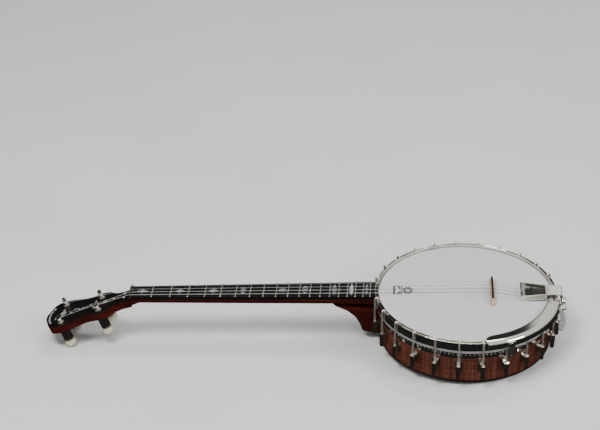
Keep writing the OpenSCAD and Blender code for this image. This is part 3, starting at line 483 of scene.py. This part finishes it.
def wire(name, points, radius, look, body="banjo"):
    """A round wire through points in metres, its radius in mm."""
    curve = bpy.data.curves.new(name, "CURVE")
    curve.dimensions = "3D"
    curve.bevel_depth = radius * MM
    curve.bevel_resolution = 3
    curve.use_fill_caps = True
    line = curve.splines.new("POLY")
    line.points.add(len(points) - 1)
    for point, where in zip(line.points, points):
        point.co = (*where, 1)
    curve.materials.append(look)
    out = bpy.data.objects.new(name, curve)
    bpy.context.scene.collection.objects.link(out)
    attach(out, body)


# How far each dome is sunk into what it stands on
SUNK = 0.05

# The tone ring's beads: where they stand, and the angles left clear each side of the heel and the tail
TUBE_OUT = 139.4
BEAD_Z = -23.7
BEAD_COUNT = 133
BEAD_R = 1.35
BEAD_HIGH = 1.15
HEEL_GAP = 10.5
TAIL_GAP = 5.5


def tone_ring_beads():
    """The row of small domes round the tone ring, clear of the heel and the tailpiece's bracket."""
    made = bmesh.new()
    outward = Matrix.Translation((TUBE_OUT * MM, 0, BEAD_Z * MM)) @ Matrix.Rotation(math.radians(90), 4, "Y")
    for i in range(BEAD_COUNT):
        turn = (i + 0.5) * 360 / BEAD_COUNT
        if abs(turn - 180) < HEEL_GAP or min(turn, 360 - turn) < TAIL_GAP:
            continue
        place = on_pot @ Matrix.Rotation(math.radians(turn), 4, "Z") @ outward
        revolve(made, dome(BEAD_R, BEAD_HIGH, -SUNK, 4), place, 12)
    piece("tone_ring_beads", made, NICKEL_SMALL)


FRET_END_R = 1.15
FRET_END_HIGH = 1.2
FRET_END_INSET = 0.25


def fret_ends():
    """Rounded ends on every fret, at the board's two edges."""
    made = bmesh.new()
    for n in range(1, FRETS + 1):
        half = board_half(fret_at(n)) - FRET_END_INSET
        for side in (-1, 1):
            place = on_neck @ at(fret_at(n), side * half)
            revolve(made, dome(FRET_END_R, FRET_END_HIGH, -SUNK), place, 16)
    piece("fret_ends", made, FRET)


# The truss cover's screws are at (x, y) on the peghead, each with its slot's angle
COVER_SCREWS = ((-9, 6, 20), (-9, -6, 75), (-29, 0, 130))
COVER_SCREW_TOP = 2.35
TAIL_SCREW = (131, -2.7)
TAIL_SCREW_TOP = 10.45
BUTTON_FACE = -45.5
# The collar under a button's screw: (radius, height) from the button's end, sunk a little into it
BUTTON_COLLAR = [(0, -0.3), (4.2, -0.3), (4.2, 0.25), (3.9, 0.45), (0, 0.45)]


def screw_heads():
    """Slotted heads on the truss cover's and the tailpiece's screws, and on each button's end."""
    made = bmesh.new()
    for x, y, turn in COVER_SCREWS:
        slotted_head(made, on_peghead @ at(x, y, COVER_SCREW_TOP, turn), 1.5, 0.5, 0.4)
    slotted_head(made, on_pot @ at(*TAIL_SCREW, TAIL_SCREW_TOP, 40), 1.35, 0.45, 0.4)
    piece("small_screw_heads", made, NICKEL_SMALL, smooth=False)
    for i, (x, y) in enumerate(POSTS, 1):
        made = bmesh.new()
        under = on_peghead @ at(x, y, BUTTON_FACE, 37 * i) @ Matrix.Rotation(math.pi, 4, "X")
        revolve(made, BUTTON_COLLAR, under, 32)
        slotted_head(made, under @ at(0, 0, 0.4), 2.4, 0.8, 0.6)
        piece(f"button_screw_{i}", made, NICKEL_SMALL, f"button_{i}", smooth=False)


def leaf(x, y, length, width, turn):
    """A pointed leaf's outline, from its stalk at (x, y)."""
    c, s = math.cos(math.radians(turn)), math.sin(math.radians(turn))
    shape = [(0, 0), (0.3, 0.5), (0.6, 0.46), (1, 0), (0.6, -0.46), (0.3, -0.5)]
    return [(x + u * length * c - v * width * s, y + u * length * s + v * width * c) for u, v in shape]


# The head ornament: a flower at FLOWER_X, sprays beside its stalk, and a row of lozenges nearer the neck
ORNAMENT_Y = 1
FLOWER_X = -93
PETALS = 10
STALK_X = -104.5
SPRAY_LEAVES = 5
LOZENGE_X = -117.5
PRINT_LOW = 0.02
PRINT_T = 0.03


def head_ornament():
    """A small printed ornament of leaves and lozenges near the neck, with no lettering."""
    made = bmesh.new()
    shapes = []
    for i in range(PETALS):
        turn = 360 // PETALS * i
        c, s = math.cos(math.radians(turn)), math.sin(math.radians(turn))
        shapes.append(leaf(FLOWER_X + 2.6 * c, ORNAMENT_Y + 3.8 * s, 8.2, 3.6, turn))
        shapes.append(leaf(FLOWER_X + 0.6 * c, ORNAMENT_Y + 0.8 * s, 1.5, 1.1, turn + 18))
    for side in (-1, 1):
        for i in range(SPRAY_LEAVES):
            x = STALK_X - 0.5 * i
            y = ORNAMENT_Y + side * (1.8 + 2.4 * i)
            shapes.append(leaf(x, y, 4.6, 2.4, 180 - side * (58 - 12 * i)))
            shapes.append(leaf(x + 1, y, 3.4, 1.9, side * (66 - 10 * i)))
    for i in range(-3, 4):
        shapes.append(leaf(LOZENGE_X, ORNAMENT_Y + 3.6 * i, 5.4, 3.4, 0))
    for shape in shapes:
        slab(made, shape, on_pot @ at(0, 0, PRINT_LOW), 0, PRINT_T)
    piece("head_ornament", made, INK, smooth=False)


# The armrest as in the source: radii in mm, angles in degrees from the tail
ARM_MID = 145.1
ARM_IN = 131.6
ARM_TAPER = 3.5
ARM_FROM = -79
ARM_TO = -12
# A thin dark tube along the armrest's inner edge, standing in for the shade under it: a painted shadow
SHADOW_LINE_FROM = -77.6
SHADOW_LINE_SPAN = 65.2
SHADOW_LINE_STEPS = 128
SHADOW_LINE_INSET = 0.2
SHADOW_LINE_Z = 7.2
SHADOW_LINE_R = 0.85


def armrest_inner(turn):
    """The armrest's inner edge, as in the source: radius in mm at that angle from the tail."""
    def corner(t, span):
        return 1 if t >= span else math.sqrt(max(0, 1 - (1 - t / span) ** 2))
    edge = ARM_IN + ARM_TAPER * (ARM_TO - turn) / (ARM_TO - ARM_FROM)
    rounding = corner(turn - ARM_FROM, 7) * (0.45 + 0.55 * corner(ARM_TO - turn, 3))
    return ARM_MID - (ARM_MID - edge) * rounding


def armrest_shadow_line():
    """A thin dark tube on the armrest's inner edge, put there as a painted shadow under that edge."""
    points = []
    for i in range(SHADOW_LINE_STEPS + 1):
        turn = SHADOW_LINE_FROM + SHADOW_LINE_SPAN * i / SHADOW_LINE_STEPS
        angle = math.radians(turn)
        radius = armrest_inner(turn) - SHADOW_LINE_INSET
        points.append(on_pot @ (Vector((radius * math.cos(angle), radius * math.sin(angle), SHADOW_LINE_Z)) * MM))
    wire("armrest_shadow_line", points, SHADOW_LINE_R, PAINTED_SHADOW)


# Strings at the tailpiece: loops on pins in two rows, then over its front edge
STRING_R = (0.14, 0.21, 0.28, 0.35)
TAIL_FRONT = 88.0
TAIL_FRONT_Z = 4.1
FRONT_STEP = 8.75
PIN_STEP = 7
PIN_Z = 5.5
PIN_NEAR = 10
PIN_FAR = 17
TWISTS = 7
TWIST_STEPS = 10
TWIST_R = 0.2
STUB_STEPS = 12
STUB_R = 0.26


def string_twists():
    """The twist that closes each string's loop behind the tailpiece's front edge."""
    steps = TWISTS * TWIST_STEPS
    for k, radius in enumerate(STRING_R, 1):
        pin = Vector((TAIL_FRONT + (PIN_NEAR if k % 2 == 0 else PIN_FAR), (2.5 - k) * PIN_STEP, PIN_Z))
        front = Vector((TAIL_FRONT, (2.5 - k) * FRONT_STEP, TAIL_FRONT_Z))
        start = pin + Vector((-2.6, 0, 0))
        stop = pin + (front - pin) * 0.85
        away = radius + 0.3
        points = []
        for i in range(steps + 1):
            t = i / steps
            a = 2 * math.pi * TWISTS * t
            around = Vector((0, away * math.cos(a), away * math.sin(a)))
            points.append(on_pot @ ((start.lerp(stop, t) + around) * MM))
        wire(f"string_twist_{k}", points, TWIST_R, PLAIN)


def string_stubs():
    """The cut end that stands out of each post, bent down and outward."""
    for i, (x, y) in enumerate(POSTS, 1):
        outward = 1 if y > 0 else -1
        points = []
        for j in range(STUB_STEPS + 1):
            t = j / STUB_STEPS
            stub = Vector((-2.0 - 5.5 * t, outward * 1.6 * t * t, 9.5 - 3.0 * t * t))
            points.append(on_peghead @ at(x, y) @ (stub * MM))
        wire(f"string_stub_{i}", points, STUB_R, PLAIN, f"post_{i}")


tone_ring_beads()
fret_ends()
screw_heads()
head_ornament()
# The armrest's dark edge line is a painted shadow
armrest_shadow_line()
string_twists()
string_stubs()


# --- Stage -------------------------------------------------------------------------------
def floor():
    """A pale floor under the banjo as it lies: on its tuner buttons and on the rim's tail edge."""
    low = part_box("rim_cap")[0]
    rim_point = Vector((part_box("rim_cap")[1][0], 0, low[2]))
    button = min((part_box(f"tuner_button_{i}") for i in range(1, 5)), key=lambda b: b[0][2])
    button_point = Vector(((button[0][0] + button[1][0]) / 2, 0, button[0][2]))
    slope = math.atan2(rim_point.z - button_point.z, rim_point.x - button_point.x)
    height = button_point.z + (pot.x - button_point.x) * math.tan(slope)
    bpy.ops.mesh.primitive_plane_add(size=12, location=(pot.x, 0, height))
    made = bpy.context.object
    made.name = "floor"
    made.rotation_euler = (0, -slope, 0)
    s = Shader("pale_floor")
    cloud = s.noise(s.place, 3, 3)
    s.set(Base_Color=s.ramp(cloud, (0.3, (0.72, 0.72, 0.71)), (0.7, (0.76, 0.76, 0.75))), Roughness=0.7)
    made.data.materials.append(s.material)
    made.visible_glossy = False


def soft_box(name, where, size, power, colour=(1, 1, 1)):
    """A rectangular light placed from the pot's centre, turned to a point on the neck's side of it."""
    light = bpy.data.lights.new(name, "AREA")
    light.shape = "RECTANGLE"
    light.size, light.size_y = size
    light.energy = power
    light.color = colour
    lamp = bpy.data.objects.new(name, light)
    bpy.context.scene.collection.objects.link(lamp)
    lamp.location = pot_centre + Vector(where)
    aim = pot_centre + Vector((-0.15, 0, 0)) - lamp.location
    lamp.rotation_euler = aim.to_track_quat("-Z", "Y").to_euler()


# The dark screen: what it hides at most, and its edges as x/y and as height in the direction looked
SCREEN_HIDES = 0.985
SCREEN_EDGE = (0.098, 0.104)
SCREEN_TOP = (0.74, 0.82)
DARKEST = 0.018


def world_look():
    """Surroundings the plate mirrors: dark below and at the horizon, bright above, with one dark screen."""
    world = bpy.data.worlds.new("studio")
    world.use_nodes = True
    tree = world.node_tree

    def add(kind, **inputs):
        made = tree.nodes.new(kind)
        for key, value in inputs.items():
            socket = made.inputs[int(key[1:])]
            if isinstance(value, bpy.types.NodeSocket):
                tree.links.new(value, socket)
            else:
                socket.default_value = value
        return made

    def step(operation, a, b=0.0):
        made = add("ShaderNodeMath", i0=a, i1=b)
        made.operation = operation
        return made.outputs[0]

    def ramp(fac, *stops):
        made = add("ShaderNodeValToRGB", i0=fac)
        elements = made.color_ramp.elements
        while len(elements) < len(stops):
            elements.new(0.5)
        for element, (place, level) in zip(elements, stops):
            element.position = place
            element.color = (level, level, level, 1)
        return made.outputs[0]

    facing = tree.nodes.new("ShaderNodeTexCoord").outputs["Generated"]
    x, y, z = add("ShaderNodeSeparateXYZ", i0=facing).outputs
    clutter = tree.nodes.new("ShaderNodeTexNoise")
    tree.links.new(facing, clutter.inputs["Vector"])
    clutter.inputs["Scale"].default_value = 4.0
    clutter.inputs["Detail"].default_value = 5.0
    uneven = ramp(clutter.outputs["Fac"], (0.35, 0.5), (0.46, 0.9), (0.65, 1.0))
    height = ramp(z, (0.0, 0.02), (0.1, 0.03), (0.3, 0.5), (0.45, 0.88), (0.75, 0.88), (1.0, 0.95))
    above = step("GREATER_THAN", z, 0.0)
    # A ramp only runs from 0 to 1, so x/y is moved up by a half to let its negative side in
    shift = 0.5
    sideways = step("DIVIDE", x, step("MAXIMUM", y, 0.05))
    left = ramp(step("ADD", sideways, shift), (0.0, 1.0), (shift + SCREEN_EDGE[0], 1.0),
                (shift + SCREEN_EDGE[1], 0.0), (1.0, 0.0))
    low = ramp(z, (0.0, 1.0), (SCREEN_TOP[0], 1.0), (SCREEN_TOP[1], 0.0), (1.0, 0.0))
    behind = step("MULTIPLY", step("GREATER_THAN", y, 0.0), low)
    screened = step("MULTIPLY", behind, left)
    kept = step("SUBTRACT", 1.0, step("MULTIPLY", screened, SCREEN_HIDES))
    lit = step("MULTIPLY", step("MULTIPLY", height, uneven), step("MULTIPLY", kept, above))
    tree.links.new(step("ADD", lit, DARKEST), tree.nodes["Background"].inputs[0])
    tree.nodes["Background"].inputs[1].default_value = 1.0
    bpy.context.scene.world = world


def lights():
    """Three soft lights from above, and the world round them."""
    soft_box("key", (-0.9, -0.7, 2.0), (0.8, 0.6), 36, (1.0, 0.985, 0.96))
    soft_box("fill", (1.7, -0.9, 1.5), (0.7, 0.6), 20)
    soft_box("rear", (0.3, 1.1, 2.4), (1.4, 0.5), 16, (0.97, 0.98, 1.0))
    world_look()


# The camera as fitted: seen from the bass side, a little from the tail, 30.6 degrees above the head
CAMERA_AT = Vector((-0.09917, -2.06893, 1.36600))
CAMERA_AZIMUTH = math.radians(4.59)
CAMERA_ELEVATION = math.radians(30.64)
CAMERA_ROLL = math.radians(-0.87)
FOCAL_MM = 92.04
SENSOR_MM = 36


def camera():
    """The camera at its fitted place, rolled about the way it looks."""
    back = Vector((math.sin(CAMERA_AZIMUTH) * math.cos(CAMERA_ELEVATION),
                   -math.cos(CAMERA_AZIMUTH) * math.cos(CAMERA_ELEVATION), math.sin(CAMERA_ELEVATION)))
    level = Vector((math.cos(CAMERA_AZIMUTH), math.sin(CAMERA_AZIMUTH), 0))
    upright = back.cross(level)
    right = math.cos(CAMERA_ROLL) * level + math.sin(CAMERA_ROLL) * upright
    up = -math.sin(CAMERA_ROLL) * level + math.cos(CAMERA_ROLL) * upright
    lens = bpy.data.cameras.new("camera")
    lens.lens = FOCAL_MM
    lens.sensor_width = SENSOR_MM
    made = bpy.data.objects.new("camera", lens)
    bpy.context.scene.collection.objects.link(made)
    turn = Matrix((right, up, back)).transposed().to_4x4()
    made.matrix_world = Matrix.Translation(pot_centre + CAMERA_AT) @ turn
    bpy.context.scene.camera = made


floor()
lights()
camera()
